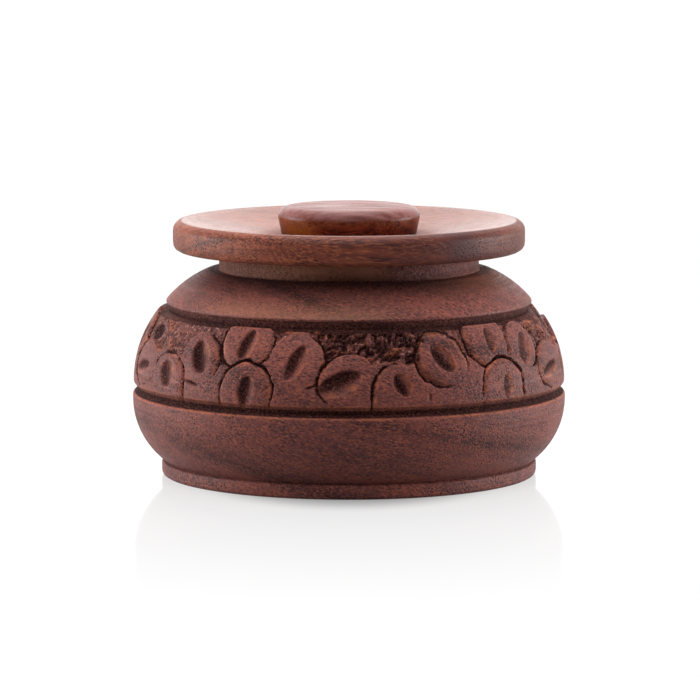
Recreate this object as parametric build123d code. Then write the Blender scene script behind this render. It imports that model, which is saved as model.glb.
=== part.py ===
from build123d import *
from collections import namedtuple
import math
import os

# A lathe-turned wooden kumkum box: a footed bowl with a carved band, a dished lid with a plug, and a knob.
# Millimetres. +Z is up, -Y is the front, and the origin is the centre of the foot's flat underside.
# Every turned outline is a half section of (radius, height) points that is turned about Z.

# Bowl, outside, from the foot upwards
FOOT_DIAMETER = 47.7
FOOT_HEIGHT = 1.75
FOOT_EDGE_ROUND = 0.6
FOOT_NOTCH_WIDTH = 0.4
FOOT_NOTCH_DEPTH = 0.35
LOWER_WALL_DIAMETER = 47.4      # where the lower wall springs from the notch
LOWER_WALL_RISE = 7.65
BELLY_DIAMETER = 55.0
BELLY_LAND_HEIGHT = 0.75        # upright strip under the lower groove
LOWER_GROOVE_LOW_FLANK = 0.45   # height of each flank of the lower groove
LOWER_GROOVE_HIGH_FLANK = 1.0
LOWER_GROOVE_DEPTH = 0.85
BAND_SETBACK = 0.1              # the carved band stands this far inside the belly
BAND_HEIGHT = 9.1
BAND_LEAN = 3.2                 # how far the band leans inwards at its top
UPPER_GROOVE_LOW_FLANK = 0.5
UPPER_GROOVE_HIGH_FLANK = 0.6
UPPER_GROOVE_DEPTH = 1.6
SHOULDER_LIP_SETBACK = 0.9      # shoulder's lower lip inside the band's top edge
SHOULDER_RISE = 3.9
SHOULDER_CROWN = 0.4            # bulge of the shoulder's slope at its middle
LEDGE_WIDTH = 1.5
NECK_DIAMETER = 33.0
NECK_HEIGHT = 2.5

# Bowl, inside
NECK_WALL = 2.2
BELLY_WALL = 5.0
FLOOR_THICKNESS = 4.8
PLUG_END_ROOM = 1.0             # straight mouth left below the lid's plug

# Lid
LID_DIAMETER = 44.7
LID_RIM_HEIGHT = 3.8
LID_EDGE_ROUND = 0.8
LID_RIM_LAND = 0.45             # flat top of the rim, inside its rounded edge
DISH_DEPTH = 2.3
PLUG_LENGTH = 3.5
PLUG_CLEARANCE = 0.3            # loose lift-off fit, per side
PLUG_CHAMFER = 0.5

# Knob
KNOB_BASE_DIAMETER = 16.9
KNOB_DIAMETER = 18.0
KNOB_FLARE_HEIGHT = 2.7
KNOB_ROUND_HEIGHT = 1.35
KNOB_TOP_DIAMETER = 15.6
KNOB_CROWN = 0.1
KNOB_SEAT_MARGIN = 0.15         # flat seat in the dish beyond the knob's base
TENON_DIAMETER = 7.0
TENON_LENGTH = 2.6
GLUE_GAP = 0.05                 # per side, round the glued tenon
SOCKET_END_ROOM = 0.3           # room for glue below the tenon

# Carved band: the ground between leaves and the outlines round them are cut to one depth
CARVING_DEPTH = 0.6
OUTLINE_WIDTH = 0.42
GROUND_RISE = 5.4               # the cut-back ground starts this far above the band's foot
GROUND_OVERLAP = 0.6            # and reaches this many degrees past the middle between two sprays

# A leaf is drawn by its centre, as degrees round from the middle of its spray and millimetres above the
# band's foot, its lean from upright towards the right, and its half sizes. An arch is a half circle on
# straight sides that run down into the groove. cut_side is the direction, anticlockwise from the right,
# in which a leaf's outline is cut. Leaves are listed from the back to the front.
Leaf = namedtuple("Leaf", "shape turn rise lean half_length half_width cut_side gouge")
Gouge = namedtuple("Gouge", "turn rise lean half_length half_width depth")

SPRAY_ONE = [
    Leaf("leaf", -0.6, 7.8, 0, 3.6, 3.55, 200, Gouge(-0.35, 7.05, 17, 1.75, 0.85, 0.6)),
    Leaf("leaf", -15.6, 4.85, -35, 3.4, 3.0, 40, Gouge(-15.0, 5.2, -24, 2.1, 1.15, 0.65)),
    Leaf("leaf", 15.0, 5.45, 28, 3.35, 3.5, 5, Gouge(14.7, 5.25, 26, 2.3, 0.85, 0.6)),
    Leaf("leaf", 28.8, 3.15, 60, 3.55, 3.2, 135, Gouge(26.6, 2.85, 66, 2.7, 1.15, 0.65)),
    Leaf("arch", -27.9, 1.9, 0, 3.2, 3.2, 10, Gouge(-28.0, 2.7, -15, 1.7, 1.15, 0.5)),
    Leaf("arch", 0.85, 1.75, 0, 3.25, 3.25, 50, Gouge(1.2, 1.5, 6, 1.95, 0.85, 0.6)),
]
SPRAY_TWO = [
    Leaf("leaf", -1.8, 7.7, 0, 3.5, 3.35, 215, Gouge(-0.9, 7.3, 4, 1.5, 0.6, 0.4)),
    Leaf("arch", -30.1, 1.85, 0, 3.25, 3.25, 170, Gouge(-30.0, 2.65, -28, 1.5, 0.8, 0.65)),
    Leaf("leaf", -17.9, 5.5, -42, 3.3, 2.75, 225, Gouge(-17.7, 5.45, -41, 2.3, 1.1, 0.65)),
    Leaf("leaf", 12.2, 6.2, 38, 2.9, 2.8, -20, Gouge(12.5, 5.75, 22, 2.1, 0.9, 0.42)),
    Leaf("leaf", 26.0, 3.3, 80, 3.7, 2.8, 170, Gouge(24.9, 2.7, 78, 2.4, 0.65, 0.5)),
    Leaf("arch", 1.2, 1.7, 0, 3.3, 3.3, 80, Gouge(2.1, 1.6, 2, 1.5, 0.55, 0.35)),
]
# Middle of each spray in degrees, from the front towards the right
SPRAYS = [(-29, SPRAY_ONE), (44, SPRAY_TWO), (111, SPRAY_ONE), (187, SPRAY_TWO), (262, SPRAY_TWO)]

# Directions in a half section
UP = (0, 1)
DOWN = (0, -1)
OUTWARD = (1, 0)

# Heights, each from the one below
wall_foot_z = FOOT_HEIGHT + FOOT_NOTCH_WIDTH
belly_z = wall_foot_z + LOWER_WALL_RISE
belly_lip_z = belly_z + BELLY_LAND_HEIGHT
lower_groove_z = belly_lip_z + LOWER_GROOVE_LOW_FLANK
band_foot_z = lower_groove_z + LOWER_GROOVE_HIGH_FLANK
band_top_z = band_foot_z + BAND_HEIGHT
upper_groove_z = band_top_z + UPPER_GROOVE_LOW_FLANK
shoulder_lip_z = upper_groove_z + UPPER_GROOVE_HIGH_FLANK
ledge_z = shoulder_lip_z + SHOULDER_RISE
neck_top_z = ledge_z + NECK_HEIGHT
mouth_foot_z = neck_top_z - PLUG_LENGTH - PLUG_END_ROOM
lid_top_z = neck_top_z + LID_RIM_HEIGHT
knob_seat_z = lid_top_z - DISH_DEPTH
plug_end_z = neck_top_z - PLUG_LENGTH

# Radii that more than one piece or feature takes
belly_r = BELLY_DIAMETER / 2
band_foot_r = belly_r - BAND_SETBACK
band_top_r = band_foot_r - BAND_LEAN
shoulder_lip_r = band_top_r - SHOULDER_LIP_SETBACK
neck_r = NECK_DIAMETER / 2
ledge_r = neck_r + LEDGE_WIDTH
mouth_r = neck_r - NECK_WALL
plug_r = mouth_r - PLUG_CLEARANCE
knob_base_r = KNOB_BASE_DIAMETER / 2
tenon_r = TENON_DIAMETER / 2


def turned(edges):
    """The solid that a closed half section makes when it is turned about Z."""
    return revolve(Plane.XZ * make_face(edges), Axis.Z)


def rounded_corner(centre, radius, start_degrees):
    """A quarter circle of a half section, anticlockwise from its starting direction."""
    return CenterArc(centre, radius, start_degrees, 90)


def bowl_outside():
    """The bowl's whole body: foot, lower wall, belly, carved band, shoulder and neck."""
    foot_r = FOOT_DIAMETER / 2
    wall_foot_r = LOWER_WALL_DIAMETER / 2
    notch = (foot_r - FOOT_NOTCH_DEPTH, FOOT_HEIGHT + FOOT_NOTCH_WIDTH / 2)
    lower_groove = (belly_r - LOWER_GROOVE_DEPTH, lower_groove_z)
    upper_groove = (band_top_r - UPPER_GROOVE_DEPTH, upper_groove_z)
    shoulder_lip = (shoulder_lip_r, shoulder_lip_z)
    ledge_corner = (ledge_r, ledge_z)
    slope = Line(shoulder_lip, ledge_corner)
    outwards = Vector(SHOULDER_RISE, shoulder_lip_r - ledge_r).normalized()
    crown = slope @ 0.5 + outwards * SHOULDER_CROWN
    return turned([
        Line((0, 0), (foot_r - FOOT_EDGE_ROUND, 0)),
        rounded_corner((foot_r - FOOT_EDGE_ROUND, FOOT_EDGE_ROUND), FOOT_EDGE_ROUND, -90),
        Polyline((foot_r, FOOT_EDGE_ROUND), (foot_r, FOOT_HEIGHT), notch, (wall_foot_r, wall_foot_z)),
        TangentArc((belly_r, belly_z), (wall_foot_r, wall_foot_z), tangent=DOWN),
        Polyline((belly_r, belly_z), (belly_r, belly_lip_z), lower_groove, (band_foot_r, band_foot_z)),
        TangentArc((band_foot_r, band_foot_z), (band_top_r, band_top_z), tangent=UP),
        Polyline((band_top_r, band_top_z), upper_groove, shoulder_lip),
        ThreePointArc(shoulder_lip, crown, ledge_corner),
        Polyline(ledge_corner, (neck_r, ledge_z), (neck_r, neck_top_z), (0, neck_top_z), (0, 0)),
    ])


def bowl_hollow():
    """The room inside: a flat floor, a rounded belly widest at the band's foot, and a straight mouth."""
    wide_r = belly_r - BELLY_WALL
    corner_r = band_foot_z - FLOOR_THICKNESS
    floor_r = wide_r - corner_r
    return turned([
        Line((0, FLOOR_THICKNESS), (floor_r, FLOOR_THICKNESS)),
        rounded_corner((floor_r, band_foot_z), corner_r, -90),
        TangentArc((wide_r, band_foot_z), (mouth_r, mouth_foot_z), tangent=UP),
        Polyline((mouth_r, mouth_foot_z), (mouth_r, neck_top_z), (0, neck_top_z), (0, FLOOR_THICKNESS)),
    ])


def band_curve():
    """Centre and radius of the circle that the band's half section follows."""
    radius = (BAND_LEAN ** 2 + BAND_HEIGHT ** 2) / (2 * BAND_LEAN)
    return (band_foot_r - radius, band_foot_z), radius


def band_point(rise):
    """The band's radius and its lean from upright, in degrees, at a rise above its foot."""
    centre, radius = band_curve()
    lean = math.asin(rise / radius)
    return centre[0] + radius * math.cos(lean), math.degrees(lean)


def carving_layer():
    """The wood that the carver may take: the band's skin, and the air before it as far as both grooves."""
    centre, radius = band_curve()
    floor_radius = radius - CARVING_DEPTH
    foot = (band_foot_r - CARVING_DEPTH, band_foot_z)
    top = (centre[0] + math.sqrt(floor_radius ** 2 - (upper_groove_z - band_foot_z) ** 2), upper_groove_z)
    outside_r = belly_r + CARVING_DEPTH
    return turned([
        TangentArc(foot, top, tangent=UP),
        Polyline(top, (outside_r, upper_groove_z), (outside_r, lower_groove_z), (foot[0], lower_groove_z), foot),
    ])


def leaf_outline(leaf):
    """A leaf as seen from the front of its spray, where what lies to the side looks narrower."""
    turn = math.radians(leaf.turn)
    lean = math.radians(leaf.lean)
    centre = Pos(band_point(leaf.rise)[0] * math.sin(turn), leaf.rise)
    half_length = leaf.half_length * math.hypot(math.sin(lean) * math.cos(turn), math.cos(lean))
    half_width = leaf.half_width * math.hypot(math.cos(lean) * math.cos(turn), math.sin(lean))
    if leaf.shape == "arch":
        sides = Rectangle(2 * half_width, 2 * belly_r, align=(Align.CENTER, Align.MAX))
        return centre * (Ellipse(half_width, leaf.half_width) + sides)
    return centre * Ellipse(half_width, half_length, rotation=-leaf.lean)


def outline_cut(leaf):
    """A leaf and the outline cut on its side: a larger arch, or the leaf moved to the side that is cut."""
    if leaf.shape == "arch":
        half_width = leaf.half_width + OUTLINE_WIDTH
        return leaf_outline(leaf._replace(half_width=half_width))
    side = math.radians(leaf.cut_side)
    return Pos(OUTLINE_WIDTH * math.cos(side), OUTLINE_WIDTH * math.sin(side)) * leaf_outline(leaf)


def ground_reach(before, after):
    """How far a ground reaches from its spray towards the next one, from the middles of both, in degrees."""
    return (after - before) % 360 / 2 + GROUND_OVERLAP


def spray_ground(spray, left_reach, right_reach):
    """The wood taken round a spray's leaves. Each leaf stands over the ground and the leaves behind it."""
    ground_r = band_point(GROUND_RISE)[0]
    left = -ground_r * math.sin(math.radians(left_reach))
    right = ground_r * math.sin(math.radians(right_reach))
    taken = Pos(left, GROUND_RISE) * Rectangle(right - left, BAND_HEIGHT, align=(Align.MIN, Align.MIN))
    for leaf in spray:
        taken = taken + outline_cut(leaf) - leaf_outline(leaf)
    front = Plane(origin=(0, -2 * belly_r, band_foot_z), x_dir=(1, 0, 0), z_dir=(0, -1, 0))
    return extrude(front * taken, amount=-2 * belly_r) & carving_layer()


def gouge_cut(gouge):
    """A spindle that lies along a gouge and sinks into the band by its depth."""
    radius, lean = band_point(gouge.rise)
    proud = gouge.half_width - gouge.depth
    spindle = turned([
        ThreePointArc((0, -gouge.half_length), (gouge.half_width, 0), (0, gouge.half_length)),
        Line((0, gouge.half_length), (0, -gouge.half_length)),
    ])
    place = Rot(0, 0, gouge.turn) * Pos(0, -radius, band_foot_z + gouge.rise) * Rot(-lean, 0, 0)
    return place * Pos(0, -proud, 0) * Rot(0, gouge.lean, 0) * spindle


def carving():
    """All that the carver took from the band, spray by spray."""
    cuts = []
    for number, (middle, spray) in enumerate(SPRAYS):
        before = SPRAYS[number - 1][0]
        after = SPRAYS[(number + 1) % len(SPRAYS)][0]
        ground = spray_ground(spray, ground_reach(before, middle), ground_reach(middle, after))
        cuts.append(Rot(0, 0, middle) * ground)
        cuts.extend(Rot(0, 0, middle) * gouge_cut(leaf.gouge) for leaf in spray)
    return cuts


def bowl():
    """The turned bowl, hollowed through its mouth, with its band carved."""
    return bowl_outside() - bowl_hollow() - carving()


def lid():
    """The dished disc that rests on the neck, its plug below, and the socket for the knob."""
    lid_r = LID_DIAMETER / 2
    edge_r = lid_r - LID_EDGE_ROUND
    low_edge_z = neck_top_z + LID_EDGE_ROUND
    high_edge_z = lid_top_z - LID_EDGE_ROUND
    seat_r = knob_base_r + KNOB_SEAT_MARGIN
    socket_r = tenon_r + GLUE_GAP
    socket_end_z = knob_seat_z - TENON_LENGTH - SOCKET_END_ROOM
    return turned([
        Polyline((0, plug_end_z), (plug_r - PLUG_CHAMFER, plug_end_z), (plug_r, plug_end_z + PLUG_CHAMFER),
                 (plug_r, neck_top_z), (edge_r, neck_top_z)),
        rounded_corner((edge_r, low_edge_z), LID_EDGE_ROUND, -90),
        Line((lid_r, low_edge_z), (lid_r, high_edge_z)),
        rounded_corner((edge_r, high_edge_z), LID_EDGE_ROUND, 0),
        Polyline((edge_r, lid_top_z), (edge_r - LID_RIM_LAND, lid_top_z), (seat_r, knob_seat_z),
                 (socket_r, knob_seat_z), (socket_r, socket_end_z), (0, socket_end_z), (0, plug_end_z)),
    ])


def knob():
    """The flared knob, seated in the dish, with the tenon that is glued into the lid."""
    knob_r = KNOB_DIAMETER / 2
    top_r = KNOB_TOP_DIAMETER / 2
    tenon_end_z = knob_seat_z - TENON_LENGTH
    wide_z = knob_seat_z + KNOB_FLARE_HEIGHT
    top_edge_z = wide_z + KNOB_ROUND_HEIGHT
    top_z = top_edge_z + KNOB_CROWN
    return turned([
        Polyline((0, top_z), (0, tenon_end_z), (tenon_r, tenon_end_z), (tenon_r, knob_seat_z),
                 (knob_base_r, knob_seat_z), (knob_r, wide_z)),
        TangentArc((knob_r, wide_z), (top_r, top_edge_z), tangent=UP),
        TangentArc((0, top_z), (top_r, top_edge_z), tangent=OUTWARD),
    ])


os.makedirs("parts", exist_ok=True)
for name, piece in {"bowl": bowl(), "lid": lid(), "knob": knob()}.items():
    export_step(piece, f"parts/{name}.step")
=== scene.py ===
import math
from collections import namedtuple

import bpy
import numpy as np
from mathutils import Matrix, Vector


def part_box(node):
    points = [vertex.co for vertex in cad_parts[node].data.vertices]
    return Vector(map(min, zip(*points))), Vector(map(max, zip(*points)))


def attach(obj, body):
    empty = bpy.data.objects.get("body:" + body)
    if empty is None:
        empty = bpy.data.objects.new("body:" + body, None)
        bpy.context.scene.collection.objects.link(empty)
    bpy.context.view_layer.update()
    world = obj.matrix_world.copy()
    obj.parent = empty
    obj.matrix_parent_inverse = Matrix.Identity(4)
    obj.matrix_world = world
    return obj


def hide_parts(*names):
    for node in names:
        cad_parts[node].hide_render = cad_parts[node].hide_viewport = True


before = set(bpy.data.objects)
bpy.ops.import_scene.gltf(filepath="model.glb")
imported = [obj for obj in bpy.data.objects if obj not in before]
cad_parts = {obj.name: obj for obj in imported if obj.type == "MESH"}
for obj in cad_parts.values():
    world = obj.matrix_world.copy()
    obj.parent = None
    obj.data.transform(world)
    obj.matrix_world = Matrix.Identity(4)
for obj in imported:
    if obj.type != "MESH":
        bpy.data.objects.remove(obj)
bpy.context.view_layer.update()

# Sizes are in millimetres, as the box was turned, and MM takes them to the scene's metres.
MM = 0.001


def node_size(name):
    """A CAD node's outer radius, lowest height and highest height in millimetres."""
    low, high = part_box(name)
    return high.x / MM, low.z / MM, high.z / MM


BELLY_R, _, NECK_TOP_Z = node_size("bowl")
LID_R, PLUG_END_Z, LID_TOP_Z = node_size("lid")
KNOB_R, TENON_END_Z, KNOB_TOP_Z = node_size("knob")

# Bowl, outside, as rings from the foot upwards
FOOT_R = 23.85
FOOT_Z = 1.75
FOOT_NOTCH_R, FOOT_NOTCH_Z = 23.5, 1.95
WALL_FOOT_R, WALL_FOOT_Z = 23.7, 2.15
BELLY_Z = 9.8
BELLY_LIP_Z = 10.55
LOWER_GROOVE_R, LOWER_GROOVE_Z = 26.65, 11.0
BAND_FOOT_R, BAND_FOOT_Z = 27.4, 12.0
BAND_TOP_R, BAND_TOP_Z = 24.2, 21.1
UPPER_GROOVE_R, UPPER_GROOVE_Z = 22.6, 21.0
SHOULDER_LIP_R, SHOULDER_LIP_Z = 23.3, 22.2
SHOULDER_CROWN = 0.4
LEDGE_R, LEDGE_Z = 18.0, 26.1
NECK_R = 16.5
LID_SHADOW_R = 22.2          # the painted shadow of the lid round the neck fades out at this radius of the shoulder
PAINTED_LIGHT_EDGE_R = 20.4      # painted light on the shoulder's outer edge fades in from this radius
NECK_FOOT_SHADE = (1.6, 0.2)   # painted shade darkens the neck from the first to the second height above the ledge
NECK_FOOT_SHADE_DARK = 0.8

# Roundings of the bowl's corners, from the foot upwards
FOOT_LOW_ROUND, FOOT_TOP_ROUND = 0.7, 0.6
NOTCH_ROUND = 0.08
BELLY_LIP_ROUND = 0.3
BAND_FOOT_ROUND, BAND_TOP_ROUND = 0.25, 0.2
SHOULDER_LIP_ROUND = 0.3
LEDGE_ROUND = 0.3
NECK_FOOT_ROUND, NECK_TOP_ROUND = 0.25, 0.15
MOUTH_TOP_ROUND, MOUTH_FOOT_ROUND = 0.25, 0.4

# Bowl, inside
MOUTH_R, MOUTH_FOOT_Z = 14.3, 24.1
CAVITY_R = 22.5
FLOOR_Z = 4.8

# Lid and knob
LID_LOW_ROUND = 1.3
DISH_EDGE_R = 21.1
KNOB_SEAT_R, KNOB_SEAT_Z = 8.6, 30.1
KNOB_SHADOW_R = 13.0       # a painted shadow of the knob darkens the dish inside this radius
PLUG_R = 14.0
PLUG_CHAMFER = 0.5
SOCKET_R, SOCKET_END_Z = 3.55, 27.2
KNOB_BASE_R = 8.45
KNOB_WIDE_Z = 32.8
KNOB_TOP_EDGE_R, KNOB_TOP_EDGE_Z = 7.8, 34.15
KNOB_TOP_CROWN = 0.03
TENON_R = 3.5
TENON_ROUND = 0.2
SMALL_ROUND = 0.1        # of the plug, the knob's seat, the socket and the knob's foot
FITTED_ROUND = 0.05      # where knob and socket meet

# Marks that show on one side only: the middle of that side in degrees from the front towards the right, the
# cosines of the angle from there at which the mark begins and is full, and how strong it is at most
Side = namedtuple("Side", "turn begins full strength")
# painted shadow of the lid on the shoulder, strongest at the front
PAINTED_LID_SHADOW = Side(-5, 0.4, 0.8, 0.75)
# painted light on the shoulder's outer edge, at the front left
PAINTED_LIGHT_SHOULDER_EDGE = Side(-20, 0.75, 0.97, 0.42)
# painted light on the ledge at the right, where the lid shades it
PAINTED_LIGHT_LEDGE = Side(60, 0.8, 0.97, 0.4)
PALE_NECK = Side(-52, 0.25, 0.55, 1.0)
# painted light on the neck's front, over its pale sapwood
PAINTED_LIGHT_NECK_FRONT = Side(0, 0.5, 0.95, 0.5)
TORN_NECK = Side(32, 0.93, 1.0, 0.55)
# painted shade on the neck's right side, under the lid
PAINTED_SHADE_NECK_RIGHT = Side(75, 0.7, 0.95, 0.3)
# painted shade on the neck's left side, where the lid's shadow is deeper
PAINTED_SHADE_NECK_LEFT = Side(-75, 0.3, 0.9, 0.65)
# painted shade in the upper groove, darker at the front
PAINTED_SHADE_GROOVE_FRONT = Side(0, 0.3, 0.75, 0.4)
DARK_HEARTWOOD = Side(50, 0.6, 0.97, 0.85)
DARK_SMUDGE = Side(38.7, 0.99, 1.0, 0.45)
# painted light: an orange glow on the knob's left side
GLOWING_KNOB = Side(-52, 0.85, 1.0, 1.0)

# Wear along edges, painted highlights, and painted shade in corners, grooves and on the neck: widths over
# which they fade from an edge, and how strong they are at most
BELLY_LIP_WIDTH = 0.15
BAND_LIP_WIDTH, BAND_LIP_WORN = 0.12, 0.6
LID_EDGE_WIDTH = 0.35
KNOB_EDGE_WIDTH = 0.3
# painted shade in the foot's notch and at the neck's foot
CORNER_WIDTH, CORNER_SHADE = 0.25, 0.6
NECK_FADE = (-0.1, 0.5)     # heights from the ledge between which the neck's marks fade in
NECK_PALE = 0.5             # how pale the neck's pale side is, apart from the painted light on its front
FLANK_FADE = (0.12, 0.3)    # shares of the way from a lip to its groove over which painted shade darkens it
FLANK_REACH = 0.25          # points this near to the way from lip to groove lie on its flank
FACET_FADE = (0.05, -0.15)  # heights from the band's foot at which the facet below it begins, and is full
# painted shade, and wear, on the facet below the band
FACET_DARK, FACET_WORN = 0.4, 0.3
LOW_FLANK_FADE = (-0.3, -0.6)   # heights from there at which painted shade in the lower groove begins, and is black
HIGH_FLANK_WIDTH = 0.2          # inwards from the band's top, where painted shade in the upper groove begins
HIGH_FLANK_DARK = 0.6           # how dark that painted shade is, apart from its darker front

# Mesh fineness
COLUMNS = 256           # round every plain ring
BAND_COLUMNS = 768      # round the carved band, a multiple of COLUMNS
BAND_STEP = 0.155       # up the carved band
FRONT_CROWD = 0.3       # share by which columns are closer together at the front than on average
PLAIN_STEP = 1.6        # up the plain turned parts
ARC_STEPS = 4           # pieces of a small rounding
EDGE_PIECES = 6         # of the lid's and the knob's upper edges
KNOB_TOP_PIECES = 8
BELLY_PIECES = 12       # of the lower wall's arc
BAND_PIECES = 24
SHOULDER_PIECES = 6
CAVITY_PIECES = 8       # of the cavity's arc above its widest ring
FLOOR_CORNER_PIECES = 6

# Carving
CUT_DEPTH = 0.7         # of an outline where it is cut hardest
CUT_WIDTH = 0.38
CUT_LOW = 0.62          # where a cut is deepest, as a share of its width from the leaf's edge
LINE_WIDTH = 0.48       # of the line of painted shade at the bottom of an outline
LEAF_EDGE_DROP = 0.18   # a leaf's surface sinks this far towards an outline that is cut hard
LEAF_EDGE_WIDTH = 0.9
FRINGE_AT = -0.12       # of a leaf's worn fringe, in millimetres outside its edge, so just inside it
FRINGE_WIDTH = 0.16
WALL_DARK = 0.5         # how dark the slanted wall of an outline is
GOUGE_LOW = -0.45       # where a gouge is deepest, from -1 at its left rim to 1 at its right rim
GOUGE_SPREAD = 1.25     # a gouge with its soft rims is this much wider than the cut itself
DARKEST_GOUGE = 0.65    # a gouge of this depth has black painted shade at its bottom
# width of the painted highlight along a gouge's right rim
GOUGE_RIM_WIDTH = 0.15
GROUND_DEPTH = 0.42     # of the cut-back ground between leaves, apart from its chips
GROUND_RISE = 5.4       # the ground starts this far above the band's foot
GROUND_FADE = (-0.4, 0.2)   # heights from there at which it begins and has its full depth
CHIP_DEPTH = 0.6
CHIP_HALF_LENGTH = (0.35, 0.9)
CHIP_HALF_WIDTH = (0.18, 0.34)
CHIPPED_SPAN = 15       # degrees to each side of the middle of a chipped ground
CHIP_SHADE = (0.12, 0.55)   # shares of the deepest chip's depth from which chips are dark, and black
RIDGE_AT = 0.06         # depth of the worn ridges between chips, as such a share
RIDGE_WIDTH = 0.08
RIDGE_WEAR = 0.45
UNEVEN_CUT = 0.2        # how much an outline's cut varies by hand
LEAST_CUT, MOST_CUT = 0.05, 1.1
HAND_WOBBLE = 0.08      # how far an outline strays from its drawn shape
RIPPLE_TERMS = 24
# Waves of the hand: how many go round the box, and how many to a millimetre of height
WOBBLE_WAVES = (8, 60), (0.05, 0.35)
UNEVEN_WAVES = (20, 110), (0.1, 0.7)
FAR_FROM_CUTS = 5.0     # where no outline is near: distance from its line, in half widths of the line
CARVING_SEED = 11
# The ground between two sprays: its middle in degrees, how many chips it has and how deep they go
CHIPPED_GROUND = [(6, 190, 1.0), (77, 120, 0.6), (149, 150, 0.8), (224, 150, 0.7), (297, 60, 0.3)]
# Wider hollows in the ground: degrees round, millimetres above the band's foot, half width and half height
POCKETS = [(-73, 7.2, 2.2, 1.2), (90, 8.8, 4.0, 0.8)]

# A leaf is drawn by its centre, as degrees round from the middle of its spray and millimetres above the
# band's foot, its lean from upright towards the right, and its half sizes. An arch runs straight down into
# the groove. cut_side is the direction, anticlockwise from the right, in which its outline is cut hardest,
# cut_rest is how hard the rest of it is cut, cut_width widens it, and towards open_side it runs out.
Leaf = namedtuple(
    "Leaf",
    "shape turn rise lean half_length half_width cut_side cut_rest cut_width gouge open_side",
    defaults=[None])
Gouge = namedtuple("Gouge", "turn rise lean half_length half_width depth")

SPRAY_ONE = [
    Leaf("leaf", -0.6, 7.8, 0, 3.6, 3.55, 200, 0.4, 1.3, Gouge(-0.35, 7.05, 17, 1.75, 0.85, 0.6)),
    Leaf("leaf", -15.6, 4.85, -35, 3.4, 3.0, -5, 0.05, 1.6, Gouge(-15.0, 5.2, -24, 2.1, 1.15, 0.65), -60),
    Leaf("leaf", 15.0, 5.45, 28, 3.35, 3.5, -15, 0.06, 0.55, Gouge(14.7, 5.25, 26, 2.3, 0.85, 0.6), 245),
    Leaf("leaf", 28.8, 3.15, 60, 3.55, 3.2, 160, 0.05, 1.2, Gouge(26.6, 2.85, 66, 2.7, 1.15, 0.65), -30),
    Leaf("arch", -27.9, 1.9, 0, 3.2, 3.2, 15, 0.25, 1.8, Gouge(-28.0, 2.7, -15, 1.7, 1.15, 0.5), 265),
    Leaf("arch", 0.85, 1.75, 0, 3.25, 3.25, 50, 0.45, 1.4, Gouge(1.2, 1.5, 6, 1.95, 0.85, 0.6), 250),
]
SPRAY_TWO = [
    Leaf("leaf", -1.8, 7.7, 0, 3.5, 3.35, 215, 0.2, 1.5, Gouge(-0.9, 7.3, 4, 1.5, 0.6, 0.4)),
    Leaf("arch", -30.1, 1.85, 0, 3.25, 3.25, 180, 0.1, 1.5, Gouge(-30.0, 2.65, -28, 1.5, 0.8, 0.65)),
    Leaf("leaf", -17.9, 5.5, -42, 3.3, 2.75, 225, 0.72, 2.9, Gouge(-17.9, 5.6, -38, 2.0, 0.95, 0.65), -50),
    Leaf("leaf", 12.2, 6.2, 38, 2.9, 2.8, -20, 0.2, 1.0, Gouge(12.5, 5.75, 22, 2.1, 0.9, 0.42), 250),
    Leaf("leaf", 26.0, 3.3, 80, 3.7, 2.8, 170, 0.1, 1.2, Gouge(24.9, 2.7, 78, 2.4, 0.65, 0.5)),
    Leaf("arch", 1.2, 1.7, 0, 3.3, 3.3, 125, 0.5, 1.05, Gouge(2.1, 1.6, 2, 1.5, 0.55, 0.35), 270),
]
# Knife strokes and torn fibres beside the leaves, with degrees from the front of the box
STRAY_CUTS = [
    Gouge(-46.0, 1.95, 102, 1.3, 0.22, 0.4),
    Gouge(-36.2, 5.0, 125, 0.6, 0.35, 0.6),
    Gouge(-20.6, 8.85, 98, 1.1, 0.28, 0.6),
    Gouge(20.7, 8.05, 153, 0.55, 0.3, 0.6),
]
TORN_FIBRES = [
    Gouge(-17.6, 8.85, 93, 1.6, 0.16, 0.15),
    Gouge(-10.1, 8.85, 95, 1.6, 0.18, 0.2),
    Gouge(-2.4, 6.87, 97, 1.9, 0.15, 0.15),
    Gouge(5.1, 5.95, 104, 1.0, 0.15, 0.15),
    Gouge(12.8, 6.7, 67, 1.3, 0.45, 0.25),
    Gouge(-64.5, 8.1, 110, 2.0, 0.3, 0.2),
    Gouge(-60.7, 6.5, 97, 1.1, 0.3, 0.2),
    Gouge(67, 8.3, 120, 1.6, 0.7, 0.35),
    Gouge(73, 7.0, 140, 1.3, 0.6, 0.35),
]
# Middle of each spray in degrees, from the front towards the right
SPRAYS = [(-29, SPRAY_ONE), (44, SPRAY_TWO), (111, SPRAY_ONE), (187, SPRAY_TWO), (262, SPRAY_TWO)]


# Curves of a half section

def smooth_step(low, high, value):
    """0 up to low, 1 from high on and an S curve between. With low above high it runs the other way."""
    share = np.clip((value - low) / (high - low), 0, 1)
    return share * share * (3 - 2 * share)


def upright_arc(upright, end, pieces):
    """Points of the circle that stands upright at its first point and passes through its second."""
    inward = upright[0] - end[0]
    rise = end[1] - upright[1]
    radius = (inward ** 2 + rise ** 2) / (2 * inward)
    turn = np.linspace(0, math.atan2(rise, radius - inward), pieces + 1)
    return [(upright[0] - radius + radius * math.cos(t), upright[1] + radius * math.sin(t), 0) for t in turn]


def bulged_line(start, end, bulge, pieces):
    """Points of a line that a parabola lifts to its right by bulge at the middle."""
    along = np.subtract(end, start)
    side = np.array([along[1], -along[0]]) / np.hypot(*along)
    share = np.linspace(0, 1, pieces + 1)[:, None]
    points = start + along * share + side * bulge * 4 * share * (1 - share)
    return [(r, z, 0) for r, z in points]


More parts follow.
